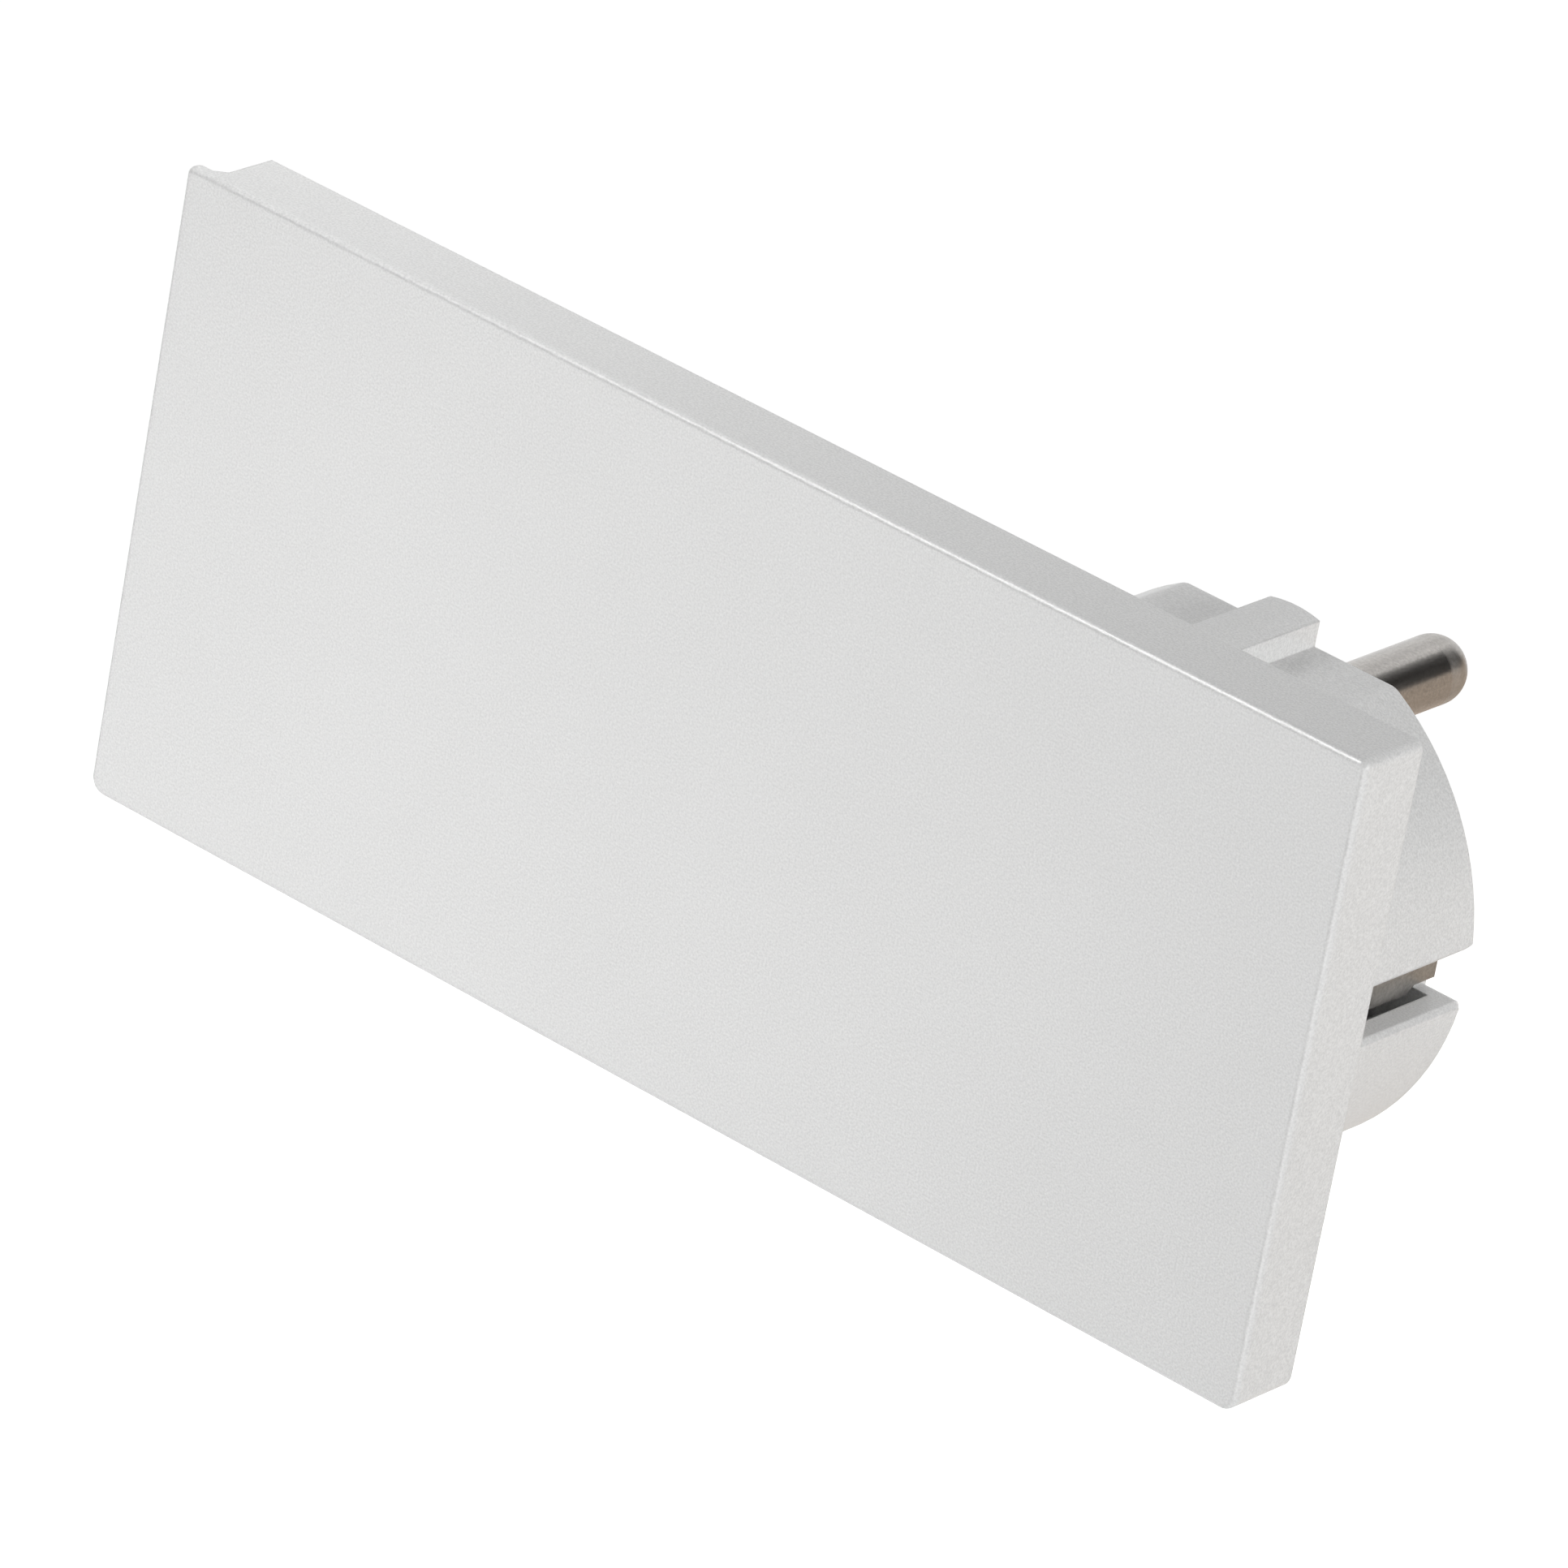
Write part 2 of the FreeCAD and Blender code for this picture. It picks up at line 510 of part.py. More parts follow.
def pin_profile(sketch):
    """Half section of a contact pin: terminal end, collar up to the plug face, shank and half-round tip."""
    tip, nose_centre = FACE + " + pin_length", FACE + " + pin_length - pin_diameter / 2"
    terminal, collar, shank = "terminal_diameter / 2", "collar_diameter / 2", "pin_diameter / 2"
    corners = [("0", tip), ("0", TERMINAL_END), (terminal, TERMINAL_END), (terminal, BOSS_END),
               (collar, BOSS_END), (collar, FACE), (shank, FACE), (shank, nose_centre)]
    guess = [corner(across, along) for across, along in corners]
    lines = [sketch.addGeometry(Part.LineSegment(a, b)) for a, b in zip(guess, guess[1:])]
    nose = Part.Circle(corner("0", nose_centre), FreeCAD.Vector(0, 0, 1), size("pin_diameter") / 2)
    arc = sketch.addGeometry(Part.ArcOfCircle(nose, 0, math.pi / 2))
    bind(sketch, "DistanceX", arc, 3, "0")
    bind(sketch, "DistanceY", arc, 3, nose_centre)
    bind(sketch, "DistanceX", lines[0], 1, "0")
    for line, (across, along) in zip(lines, corners[1:]):
        bind(sketch, "DistanceX", line, 2, across)
        bind(sketch, "DistanceY", line, 2, along)
    for a, b in zip(lines, lines[1:]):
        sketch.addConstraint(Sketcher.Constraint("Coincident", a, 2, b, 1))
    sketch.addConstraint(Sketcher.Constraint("Coincident", lines[-1], 2, arc, 1))
    sketch.addConstraint(Sketcher.Constraint("Coincident", arc, 2, lines[0], 1))


def make_pin(label, sign):
    """Contact pin turned in one piece with its terminal; the hole for the core ends past the screw."""
    pin = new_body(label)
    profile = new_sketch(pin, label + "_profile", "XY_Plane")
    pin_profile(profile)
    revolve(pin, label + "_turned", profile)
    thread = new_sketch(pin, label + "_screw_circle", "XZ_Plane", TERMINAL_END)
    circle(thread, "0", "0", "clamp_screw_diameter + 2 * thread_clearance")
    cut(pin, label + "_screw_hole", thread, "terminal_screw_length + thread_clearance", "+Y")
    cross = new_sketch(pin, label + "_wire_circle", "YZ_Plane", "wire_hole_diameter / 2")
    circle(cross, TERMINAL_END + " + terminal_length / 2", "0", "wire_hole_diameter")
    cut(pin, label + "_wire_hole", cross, "(terminal_diameter + wire_hole_diameter) / 2", "-X")
    place(pin, z=sign + "pin_spacing / 2")
    return pin


def make_clamp_screw(label, head_end, length):
    """Cheese-head screw along +Y whose head rests at the given level."""
    screw = new_body(label)
    profile = new_sketch(screw, label + "_profile", "XY_Plane")
    head, shank = "clamp_head_diameter / 2", "clamp_screw_diameter / 2"
    top, tip = head_end + " - clamp_head_height", "%s + %s" % (head_end, length)
    outline(profile, [("0", top), (head, top), (head, head_end),
                      (shank, head_end), (shank, tip), ("0", tip)])
    revolve(screw, label + "_turned", profile)
    slot = new_sketch(screw, label + "_slot_outline", "XZ_Plane", top)
    half = "driver_slot_width / 2"
    rectangle(slot, "-clamp_head_diameter", "clamp_head_diameter", "-" + half, half)
    cut(screw, label + "_slot", slot, "driver_slot_depth", "+Y")
    return screw


def mirrored_group(label, bodies):
    """One node with the given bodies and their copies below the plug's axis."""
    copies = []
    for body in bodies:
        copy = doc.addObject("Part::Mirroring", body.Name + "_below")
        copy.Source = body
        copy.Normal = FreeCAD.Vector(0, 0, 1)
        copies.append(copy)
    group = doc.addObject("Part::Compound", label)
    group.Label = label
    group.Links = bodies + copies
    doc.recompute()
    return group


def make_terminal_screws():
    screw = make_clamp_screw("terminal_screw", TERMINAL_END, "terminal_screw_length")
    place(screw, z="pin_spacing / 2")
    return mirrored_group("terminal_screws", [screw])


def make_earth_strip():
    """Sheet strip bent to a U: a bridge on the base and an arm in each side slot, with narrow ends."""
    strip = new_body("earth_strip")
    profile = new_sketch(strip, "strip_profile", "XY_Plane")
    outer, inner = "strip_span / 2", SLOT_FLOOR
    outline(profile, [("-" + outer, STRIP_TIP), ("-" + outer, BRIDGE_FRONT),
                      (outer, BRIDGE_FRONT), (outer, STRIP_TIP), (inner, STRIP_TIP), (inner, SEAT),
                      ("-" + inner, SEAT), ("-" + inner, STRIP_TIP)])
    add(strip, "bent_strip", profile, "bridge_width", "both")
    reach, front = size("strip_span") / 2, -(size("base_thickness") + size("strip_thickness"))
    dress(strip, "Fillet", "bends", "strip_bend_radius",
          lambda edge: lies(edge, x=reach, y=front) or lies(edge, x=-reach, y=front))

    shoulder = STRIP_TIP + " - tongue_length"
    arms = new_sketch(strip, "arm_outlines", "YZ_Plane")
    for sign in ("", "-"):
        wide, narrow, clear = sign + "strip_width / 2", sign + "tongue_width / 2", sign + "bridge_width"
        outline(arms, [(SEAT, wide), (shoulder + " - tongue_taper", wide), (shoulder, narrow),
                       (STRIP_TIP, narrow), (STRIP_TIP, clear), (SEAT, clear)])
    cut(strip, "arms", arms, "2 * strip_span", "both")
    holes = new_sketch(strip, "bridge_hole_circles", "XZ_Plane", SEAT)
    circle(holes, "sleeve_offset", "0", "rivet_diameter + 2 * sleeve_clearance")
    circle(holes, "-earth_screw_offset", "0", "clamp_screw_diameter + 2 * thread_clearance")
    cut(strip, "bridge_holes", holes, "strip_thickness", "-Y")
    return strip


def make_earth_sleeve():
    """Closed sleeve behind the earth-pin hole, riveted in the strip's bridge."""
    sleeve = new_body("earth_sleeve")
    profile = new_sketch(sleeve, "sleeve_profile", "XY_Plane")
    outer, bore, rivet = "sleeve_diameter / 2", "sleeve_bore / 2", "rivet_diameter / 2"
    floor = SEAT + " + sleeve_floor"
    outline(profile, [("0", BRIDGE_FRONT), (rivet, BRIDGE_FRONT), (rivet, SEAT), (outer, SEAT),
                      (outer, FACE_INSIDE), (bore, FACE_INSIDE), (bore, floor), ("0", floor)])
    revolve(sleeve, "sleeve_turned", profile)
    place(sleeve, x="sleeve_offset")
    return sleeve


def make_square_plate(label, width, thickness, front):
    """Square plate with a hole for the earth screw."""
    body = new_body(label)
    square = new_sketch(body, label + "_outline", "XZ_Plane", front)
    rectangle(square, "-%s / 2" % width, "%s / 2" % width, "-%s / 2" % width, "%s / 2" % width)
    circle(square, "0", "0", "clamp_screw_diameter + 2 * thread_clearance")
    add(body, label + "_plate", square, thickness, "+Y")
    place(body, x="-earth_screw_offset")
    return body


def make_earth_terminal():
    """Screw, clamp washer and nut of the earth terminal on the strip's bridge."""
    washer_front = BRIDGE_FRONT + " - washer_thickness"
    screw = make_clamp_screw("earth_screw", washer_front, "earth_screw_length")
    place(screw, x="-earth_screw_offset")
    washer = make_square_plate("earth_washer", "washer_width", "washer_thickness", washer_front)
    nut = make_square_plate("earth_nut", "nut_width", "nut_thickness", SEAT)
    return [screw, washer, nut]


def make_cover_screw(label, column):
    """Countersunk cross-recess screw, put in from the rear face."""
    screw = new_body(label)
    profile = new_sketch(screw, label + "_profile", "XY_Plane")
    shank = "screw_diameter / 2"
    rim = "(countersink_diameter / 2 - countersink_clearance)"
    tip = SEAT + " - screw_length"
    outline(profile, [("0", "0"), (rim, "0"), (shank, "%s - %s" % (shank, rim)), (shank, tip), ("0", tip)])
    revolve(screw, label + "_turned", profile)
    arms = (("level", "cross_span", "cross_width"), ("upright", "cross_width", "cross_span"))
    for turn, wide, high in arms:
        arm = new_sketch(screw, "%s_%s_arm" % (label, turn), "XZ_Plane")
        rectangle(arm, "-%s / 2" % wide, "%s / 2" % wide, "-%s / 2" % high, "%s / 2" % high)
        cut(screw, "%s_%s_recess" % (label, turn), arm, "cross_depth", "-Y")
    place(screw, x=column, z=SCREW_HEIGHT)
    return screw


def make_cover_screws():
    sides = zip(("near", "far"), SCREW_COLUMNS)
    return mirrored_group("cover_screws", [make_cover_screw(side + "_cover_screw", x) for side, x in sides])


def check_document(nodes):
    """Stops before anything is written if an object failed or a sub-part isn't a sound solid."""
    for item in doc.Objects:
        if "Invalid" in item.State or "Error" in item.State:
            raise RuntimeError("%s failed: %s" % (item.Label, item.State))
    for node in nodes:
        if node.Shape.isNull() or not node.Shape.isValid() or not node.Shape.Solids:
            raise RuntimeError("%s isn't a sound solid" % node.Label)


def write_parts(nodes):
    os.makedirs("parts", exist_ok=True)
    for node in nodes:
        node.Shape.exportStep("parts/%s.step" % node.Label)
        print("%-16s solids %d  volume %9.2f mm3" % (node.Label, len(node.Shape.Solids), node.Shape.Volume))


def main():
    fill_sheet()
    nodes = [make_front_cover(), make_plug_base(), make_pin("upper_pin", ""), make_pin("lower_pin", "-"),
             make_terminal_screws(), make_earth_strip(), make_earth_sleeve()]
    nodes += make_earth_terminal()
    nodes.append(make_cover_screws())
    doc.recompute()
    check_document(nodes)
    write_parts(nodes)


main()
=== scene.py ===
import json
import math

import bpy
from mathutils import Matrix, Vector


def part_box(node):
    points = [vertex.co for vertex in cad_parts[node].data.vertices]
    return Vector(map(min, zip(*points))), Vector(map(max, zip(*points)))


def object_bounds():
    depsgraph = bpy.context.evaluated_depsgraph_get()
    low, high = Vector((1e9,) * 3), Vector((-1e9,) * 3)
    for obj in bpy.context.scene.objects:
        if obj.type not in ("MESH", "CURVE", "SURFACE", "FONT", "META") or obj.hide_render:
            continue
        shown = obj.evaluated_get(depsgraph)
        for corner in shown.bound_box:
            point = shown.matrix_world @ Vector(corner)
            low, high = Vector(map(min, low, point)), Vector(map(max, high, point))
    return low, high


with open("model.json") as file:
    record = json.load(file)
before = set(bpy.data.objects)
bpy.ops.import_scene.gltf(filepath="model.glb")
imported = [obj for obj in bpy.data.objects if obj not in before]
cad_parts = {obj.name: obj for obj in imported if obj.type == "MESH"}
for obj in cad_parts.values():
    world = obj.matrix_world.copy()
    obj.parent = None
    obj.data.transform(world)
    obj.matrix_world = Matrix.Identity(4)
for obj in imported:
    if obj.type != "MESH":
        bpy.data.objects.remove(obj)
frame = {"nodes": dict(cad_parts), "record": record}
cad_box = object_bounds()

# Flat low profile mains plug: materials, studio and camera around the CAD solids. Metres throughout.

# Camera, solved from the photograph: angles in degrees, lens and sensor in millimetres
AIM = Vector((-0.02728, 0.00330, -0.00292))
DISTANCE = 0.8003
AZIMUTH = 35.951
ELEVATION = 25.363
ROLL = 10.504
LENS = 282.79
SENSOR = 36.0
CLIP_START = 0.05
CLIP_END = 20.0

# Light: lamps with place, size, power and the rays that see them, and the plain light from all round
LAMPS = {
    "top_left": ((-0.10, 0.02, 0.11), 0.10, 0.066, "all"),
    "low_left": ((-0.25, -0.27, -0.16), 0.18, 0.37, "all"),
    "right": ((0.42, 0.06, 0.12), 0.22, 1.125, "all"),
    "front": ((0.05, -0.60, 0.10), 0.40, 1.26, "all"),
    "back": ((-0.05, 0.55, 0.02), 0.40, 1.8, "diffuse"),
    "edge": ((-0.135, -0.20, 0.22), 0.14, 1.4, "glossy"),
    "side_edge": ((0.19, -0.21, -0.13), 0.18, 0.28, "glossy"),
}
WORLD_LIGHT = 0.20

# Floor: its place under the part, its paint, and the glow that lifts it to white where it is seen
FLOOR_DROP = 0.25
FLOOR_SIZE = 6.0
FLOOR_CLOUDS = 3
FLOOR_COLOURS = ((0.86, 0.86, 0.86), (0.88, 0.88, 0.88))
FLOOR_ROUGHNESS = 0.9
FLOOR_GLOSS = 0.1
FLOOR_GLOW = 0.82

# Glowing cards that only metal and gloss reflect, for painted reflections in the metal: a dark one behind to
# the right, warm ones below it and on the floor
PIN_MIDDLE = Vector((0.0, 0.027, 0.0095))
DARK_CARD_TOWARDS = Vector((0.44, 0.78, 0.44))
DARK_CARD_AWAY = 0.6
DARK_CARD_SIZE = (0.42, 0.42)
DARK_CARD_COLOUR = (0.006, 0.005, 0.004)
WARM_WALL_HEIGHT = 0.40
WARM_CARD_PLACE = (0.20, 0.58)
WARM_CARD_SIZE = (0.80, 0.64)
WARM_CARD_COLOUR = (0.60, 0.50, 0.41)
CARD_LIFT = 0.001
CARD_CLOUDS = 8
CARD_MOTTLE = 0.9

# Noise is given in grains to the metre, colours and roughness as low and high, relief as depth and strength
RAMP_STOPS = (0.3, 0.7)
METAL_GRAIN = 4600

# White plastic, with the softened look of its sharp moulded edges
PLASTIC_IOR = 1.5
PLASTIC_GLOSS = 0.5
PLASTIC_CLOUDS = 45
PLASTIC_GRAIN = 6500
PLASTIC_RIPPLES = 160
PLASTIC_GRAIN_SHARE = 0.85
PLASTIC_COLOURS = ((0.665, 0.665, 0.661), (0.825, 0.825, 0.82))
PLASTIC_ROUGHNESS = (0.26, 0.42)
RIPPLE_RELIEF = (0.00002, 0.3)
GRAIN_RELIEF = (0.00003, 0.5)
EDGE_SOFTNESS = 0.00025

# Nickel plate, and the matt tip of a contact pin: its length, soft edge and roughness
NICKEL_RINGS = 900
NICKEL_RINGS_STRETCH = (0.02, 9, 0.02)
NICKEL_RUBS = 1500
NICKEL_RUBS_STRETCH = (1, 0.04, 1)
NICKEL_GRAIN_SHARE = 0.5
NICKEL_COLOURS = ((0.35, 0.335, 0.318), (0.53, 0.508, 0.484))
NICKEL_ROUGHNESS = (0.18, 0.30)
NICKEL_RELIEF = (0.000006, 0.5)
TIP_LENGTH = 0.0034
TIP_BLEND = 0.0003
TIP_ROUGHNESS = 0.34

# Earth strip
STRIP_LINES = 2400
STRIP_LINES_STRETCH = (1, 0.05, 1)
STRIP_FILM = 260
STRIP_GRAIN_SHARE = 0.6
STRIP_COLOURS = ((0.29, 0.284, 0.273), (0.50, 0.49, 0.474))
STRIP_ROUGHNESS = (0.26, 0.42)
STRIP_RELIEF = (0.00001, 0.5)

# Turned brass: the tarnish is the rougher part
BRASS_RINGS = 700
BRASS_RINGS_STRETCH = (0.02, 8, 0.02)
BRASS_TARNISH = 420
BRASS_COLOURS = ((0.50, 0.35, 0.15), (0.72, 0.55, 0.27))
BRASS_ROUGHNESS = (0.40, 0.24)
BRASS_RELIEF = (0.000008, 0.5)

# Zinc plated steel
ZINC_CRYSTALS = 1800
ZINC_TINT = 300
ZINC_COLOURS = ((0.55, 0.56, 0.57), (0.63, 0.62, 0.58))
ZINC_ROUGHNESS = (0.24, 0.40)
ZINC_RELIEF = (0.000008, 0.4)


def new_material(name, **sockets):
    """Material with a Principled shader whose plain values are set on its own sockets."""
    material = bpy.data.materials.new(name)
    material.use_nodes = True
    shader = material.node_tree.nodes["Principled BSDF"]
    for socket, value in sockets.items():
        shader.inputs[socket.replace("_", " ")].default_value = value
    return material, material.node_tree, shader


def node(tree, kind, **inputs):
    """Shader node with the given input values."""
    made = tree.nodes.new(kind)
    for name, value in inputs.items():
        made.inputs[name.replace("_", " ")].default_value = value
    return made


def stretched_position(tree, stretch):
    """Position in the row's frame, scaled apart along the three axes."""
    place = node(tree, "ShaderNodeTexCoord")
    mapping = node(tree, "ShaderNodeMapping", Scale=stretch)
    tree.links.new(place.outputs["Object"], mapping.inputs["Vector"])
    return mapping.outputs["Vector"]


def noise(tree, scale, detail=2.0, stretch=(1, 1, 1)):
    """Noise with a given number of grains to the metre."""
    made = node(tree, "ShaderNodeTexNoise", Scale=scale, Detail=detail)
    tree.links.new(stretched_position(tree, stretch), made.inputs["Vector"])
    return made.outputs["Fac"]


def ramp(tree, factor, low, high):
    """Colour that goes from low to high with a factor."""
    made = node(tree, "ShaderNodeValToRGB")
    for stop, place, colour in zip(made.color_ramp.elements, RAMP_STOPS, (low, high)):
        stop.position = place
        stop.color = (*colour, 1)
    tree.links.new(factor, made.inputs["Fac"])
    return made.outputs["Color"]


def mixed(tree, first, second, share):
    """Number between two others, with the second one's share."""
    made = node(tree, "ShaderNodeMix", Factor=share)
    tree.links.new(first, made.inputs["A"])
    tree.links.new(second, made.inputs["B"])
    return made.outputs["Result"]


def spread(tree, factor, low, high):
    """Number that goes from low to high with a factor."""
    made = node(tree, "ShaderNodeMapRange", To_Min=low, To_Max=high)
    tree.links.new(factor, made.inputs["Value"])
    return made.outputs["Result"]


def bump(tree, height, depth, strength, under=None):
    """Normal of a relief, on top of another normal where one is given."""
    made = node(tree, "ShaderNodeBump", Strength=strength, Distance=depth)
    tree.links.new(height, made.inputs["Height"])
    if under:
        tree.links.new(under, made.inputs["Normal"])
    return made.outputs["Normal"]


def white_plastic():
    """Satin white moulding: fine eroded grain, faint cloudiness and slightly uneven gloss."""
    material, tree, shader = new_material("white_plastic", IOR=PLASTIC_IOR, Specular_IOR_Level=PLASTIC_GLOSS)
    cloud = noise(tree, PLASTIC_CLOUDS, detail=3)
    grain = noise(tree, PLASTIC_GRAIN, detail=1)
    ripple = noise(tree, PLASTIC_RIPPLES, detail=1)
    speckle = mixed(tree, cloud, grain, PLASTIC_GRAIN_SHARE)
    tree.links.new(ramp(tree, speckle, *PLASTIC_COLOURS), shader.inputs["Base Color"])
    tree.links.new(spread(tree, grain, *PLASTIC_ROUGHNESS), shader.inputs["Roughness"])
    edges = node(tree, "ShaderNodeBevel", Radius=EDGE_SOFTNESS)
    swell = bump(tree, ripple, *RIPPLE_RELIEF, edges.outputs["Normal"])
    tree.links.new(bump(tree, grain, *GRAIN_RELIEF, swell), shader.inputs["Normal"])
    return material


def pin_tip(tree):
    """0 along the shank of a contact pin, 1 on its half-round tip."""
    place = node(tree, "ShaderNodeTexCoord")
    apart = node(tree, "ShaderNodeSeparateXYZ")
    tree.links.new(place.outputs["Object"], apart.inputs["Vector"])
    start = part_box("upper_pin")[1][1] - TIP_LENGTH
    ends = node(tree, "ShaderNodeMapRange", From_Min=start, From_Max=start + TIP_BLEND)
    tree.links.new(apart.outputs["Y"], ends.inputs["Value"])
    return ends.outputs["Result"]


def nickel():
    """Nickel plated turned pin: fine rings round the axis, faint rubs along it and a matt tip."""
    material, tree, shader = new_material("nickel", Metallic=1.0)
    rings = noise(tree, NICKEL_RINGS, stretch=NICKEL_RINGS_STRETCH)
    rubs = noise(tree, NICKEL_RUBS, stretch=NICKEL_RUBS_STRETCH)
    shade = mixed(tree, rubs, noise(tree, METAL_GRAIN), NICKEL_GRAIN_SHARE)
    tree.links.new(ramp(tree, shade, *NICKEL_COLOURS), shader.inputs["Base Color"])
    roughness = node(tree, "ShaderNodeMix", B=TIP_ROUGHNESS)
    tree.links.new(pin_tip(tree), roughness.inputs["Factor"])
    tree.links.new(spread(tree, rubs, *NICKEL_ROUGHNESS), roughness.inputs["A"])
    tree.links.new(roughness.outputs["Result"], shader.inputs["Roughness"])
    tree.links.new(bump(tree, rings, *NICKEL_RELIEF), shader.inputs["Normal"])
    return material


def earth_metal():
    """Rolled strip: drawn lines along it, and a dull grainy grey film."""
    material, tree, shader = new_material("earth_metal", Metallic=1.0)
    lines = noise(tree, STRIP_LINES, detail=3, stretch=STRIP_LINES_STRETCH)
    film = noise(tree, STRIP_FILM, detail=3)
    shade = mixed(tree, film, noise(tree, METAL_GRAIN), STRIP_GRAIN_SHARE)
    tree.links.new(ramp(tree, shade, *STRIP_COLOURS), shader.inputs["Base Color"])
    tree.links.new(spread(tree, film, *STRIP_ROUGHNESS), shader.inputs["Roughness"])
    tree.links.new(bump(tree, lines, *STRIP_RELIEF), shader.inputs["Normal"])
    return material


def brass():
    """Turned brass with tool rings and a little tarnish."""
    material, tree, shader = new_material("brass", Metallic=1.0)
    rings = noise(tree, BRASS_RINGS, stretch=BRASS_RINGS_STRETCH)
    tarnish = noise(tree, BRASS_TARNISH, detail=3)
    tree.links.new(ramp(tree, tarnish, *BRASS_COLOURS), shader.inputs["Base Color"])
    tree.links.new(spread(tree, tarnish, *BRASS_ROUGHNESS), shader.inputs["Roughness"])
    tree.links.new(bump(tree, rings, *BRASS_RELIEF), shader.inputs["Normal"])
    return material


def zinc_steel():
    """Zinc plated steel: cold grey with small crystals and a faint straw tint."""
    material, tree, shader = new_material("zinc_steel", Metallic=1.0)
    crystals = noise(tree, ZINC_CRYSTALS, detail=3)
    tint = noise(tree, ZINC_TINT)
    tree.links.new(ramp(tree, tint, *ZINC_COLOURS), shader.inputs["Base Color"])
    tree.links.new(spread(tree, crystals, *ZINC_ROUGHNESS), shader.inputs["Roughness"])
    tree.links.new(bump(tree, crystals, *ZINC_RELIEF), shader.inputs["Normal"])
    return material


def dress_nodes():
    """Each CAD node gets the material of its slot."""
    slots = {maker.__name__: maker() for maker in (white_plastic, nickel, earth_metal, brass, zinc_steel)}
    for subpart in frame["record"]["subparts"]:
        shown = frame["nodes"][subpart["node"]]
        shown.data.materials.clear()
        shown.data.materials.append(slots[subpart["material_slot"]])


def seen_rays(tree):
    """1 for rays that show the background: from the camera, off metal and through glass."""
    path = node(tree, "ShaderNodeLightPath")
    total = path.outputs["Is Camera Ray"]
    for name in ("Is Glossy Ray", "Is Transmission Ray"):
        either = node(tree, "ShaderNodeMath")
        either.operation = "MAXIMUM"
        tree.links.new(total, either.inputs[0])
        tree.links.new(path.outputs[name], either.inputs[1])
        total = either.outputs["Value"]
    return total


def make_world():
    """White where it is seen, a plain soft light elsewhere."""
    world = bpy.data.worlds.new("studio")
    bpy.context.scene.world = world
    world.use_nodes = True
    tree = world.node_tree
    backdrop = tree.nodes["Background"]
    backdrop.inputs["Color"].default_value = (1, 1, 1, 1)
    tree.links.new(spread(tree, seen_rays(tree), WORLD_LIGHT, 1.0), backdrop.inputs["Strength"])


def add_quad(name, corners, material):
    """One quad as a stage piece."""
    mesh = bpy.data.meshes.new(name)
    mesh.from_pydata(corners, [], [tuple(range(len(corners)))])
    mesh.materials.append(material)
    piece = bpy.data.objects.new(name, mesh)
    bpy.context.scene.collection.objects.link(piece)
    return piece


def floor_paint():
    """Matt white floor, lifted to white where it is seen so that only a shadow shows on it."""
    material, tree, shader = new_material("floor_paint", Roughness=FLOOR_ROUGHNESS,
                                          Specular_IOR_Level=FLOOR_GLOSS, Emission_Color=(1, 1, 1, 1))
    shade = noise(tree, FLOOR_CLOUDS, detail=1)
    tree.links.new(ramp(tree, shade, *FLOOR_COLOURS), shader.inputs["Base Color"])
    tree.links.new(spread(tree, seen_rays(tree), 0.0, FLOOR_GLOW), shader.inputs["Emission Strength"])
    return material


def make_floor():
    """Level floor some way under the part."""
    level = cad_box[0][2] - FLOOR_DROP
    half = FLOOR_SIZE / 2
    corners = [(-half, -half, level), (half, -half, level), (half, half, level), (-half, half, level)]
    add_quad("floor", corners, floor_paint())


def painted_reflection_glow(name, colour):
    """Glowing card that no lamp changes: it shows its own faintly mottled colour as a painted reflection to
    whatever reflects it.
    """
    material, tree, shader = new_material(name, Base_Color=(0, 0, 0, 1), Specular_IOR_Level=0.0,
                                          Emission_Strength=1.0)
    dimmer = [CARD_MOTTLE * part for part in colour]
    tree.links.new(ramp(tree, noise(tree, CARD_CLOUDS), dimmer, colour), shader.inputs["Emission Color"])
    return material


def add_card(name, centre, across, up, size, colour):
    """Glowing card that the camera and the diffuse light don't see and that casts no shadow: it only paints a
    reflection.
    """
    wide, high = size
    corners = [centre + across * (x * wide / 2) + up * (y * high / 2)
               for x, y in ((-1, -1), (1, -1), (1, 1), (-1, 1))]
    card = add_quad(name, corners, painted_reflection_glow(name, colour))
    card.visible_camera = False
    card.visible_diffuse = False
    card.visible_shadow = False


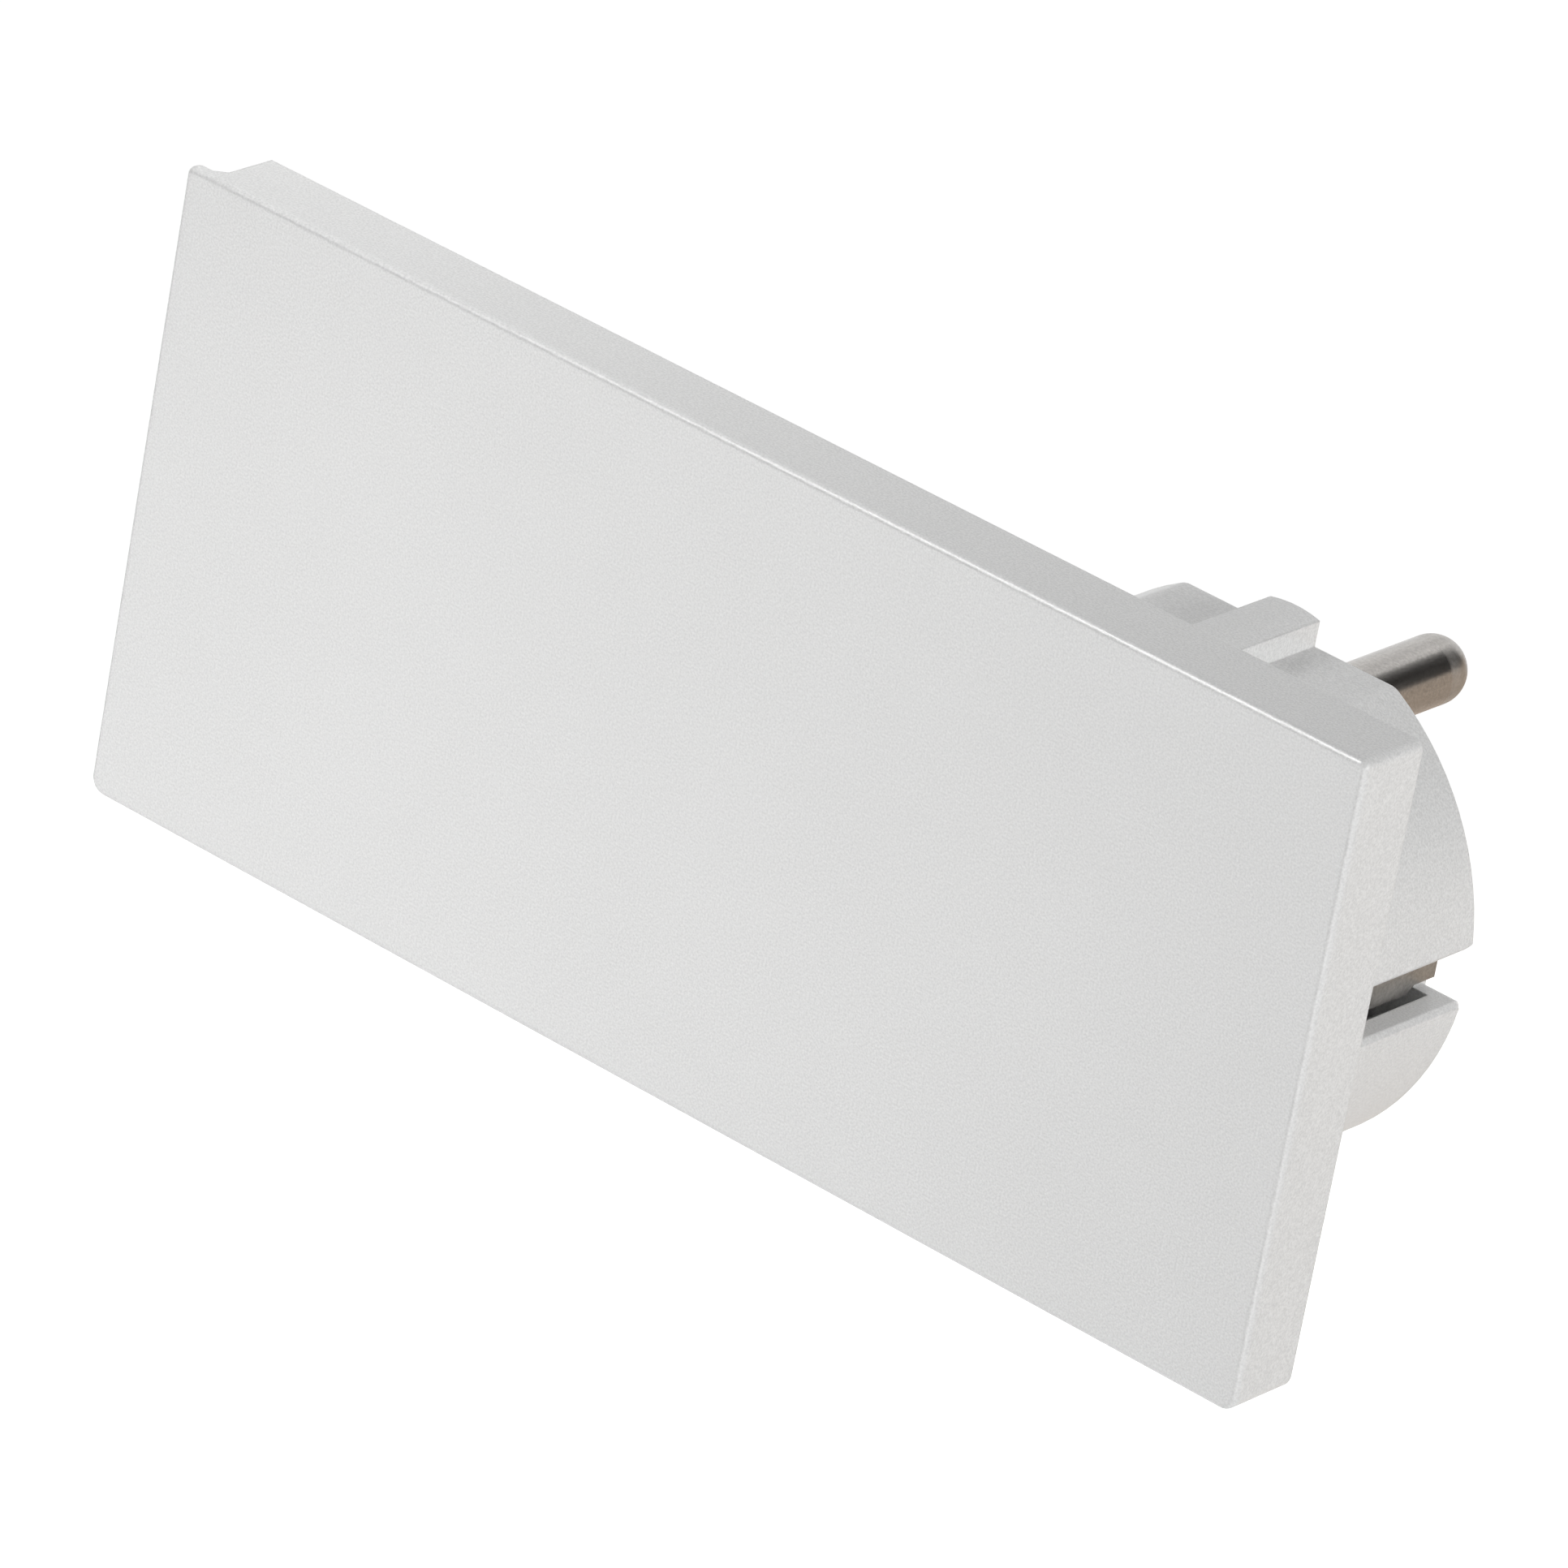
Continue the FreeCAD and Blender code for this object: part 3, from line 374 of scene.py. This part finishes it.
def make_cards():
    """Painted reflections for the metal: a dark card facing the contact pin with a warm wall under it, and a
    warm card on the floor.
    """
    towards = DARK_CARD_TOWARDS.normalized()
    across = towards.cross(Vector((0, 0, 1))).normalized()
    up = across.cross(towards)
    centre = PIN_MIDDLE + towards * DARK_CARD_AWAY
    wide, high = DARK_CARD_SIZE
    # Painted reflection: the dark card glows near black and puts a dark band into the pin, the warm cards put
    # warm reflections below it
    add_card("dark_reflection_card", centre, across, up, DARK_CARD_SIZE, DARK_CARD_COLOUR)
    below = centre - up * (high + WARM_WALL_HEIGHT) / 2
    add_card("warm_reflection_wall", below, across, up, (2 * wide, WARM_WALL_HEIGHT), WARM_CARD_COLOUR)
    on_floor = Vector((*WARM_CARD_PLACE, cad_box[0][2] - FLOOR_DROP + CARD_LIFT))
    add_card("warm_reflection_card", on_floor, Vector((1, 0, 0)), Vector((0, 1, 0)), WARM_CARD_SIZE, WARM_CARD_COLOUR)


def make_lamps():
    """Round lamps that face the plug."""
    for name, (place, size, power, rays) in LAMPS.items():
        lamp = bpy.data.lights.new(name, "AREA")
        lamp.shape = "DISK"
        lamp.size = size
        lamp.energy = power
        holder = bpy.data.objects.new(name, lamp)
        holder.location = place
        holder.rotation_euler = (AIM - Vector(place)).to_track_quat("-Z", "Y").to_euler()
        holder.visible_camera = False
        holder.visible_glossy = rays != "diffuse"
        holder.visible_diffuse = rays != "glossy"
        bpy.context.scene.collection.objects.link(holder)


def make_camera():
    """Camera on the photograph's line of sight, turned about it by the roll."""
    azimuth, elevation, roll = (math.radians(angle) for angle in (AZIMUTH, ELEVATION, ROLL))
    outward = math.cos(elevation)
    back = Vector((math.sin(azimuth) * outward, -math.cos(azimuth) * outward, math.sin(elevation)))
    level = Vector((0, 0, 1)).cross(back).normalized()
    upright = back.cross(level)
    right = level * math.cos(roll) + upright * math.sin(roll)
    up = upright * math.cos(roll) - level * math.sin(roll)
    lens = bpy.data.cameras.new("camera")
    lens.sensor_width = SENSOR
    lens.lens = LENS
    lens.clip_start = CLIP_START
    lens.clip_end = CLIP_END
    camera = bpy.data.objects.new("camera", lens)
    bpy.context.scene.collection.objects.link(camera)
    turn = Matrix((right, up, back)).transposed().to_4x4()
    camera.matrix_world = Matrix.Translation(AIM + back * DISTANCE) @ turn
    bpy.context.scene.camera = camera


dress_nodes()
make_world()
make_floor()
make_cards()
make_lamps()
make_camera()
bpy.context.scene.view_settings.view_transform = "Standard"
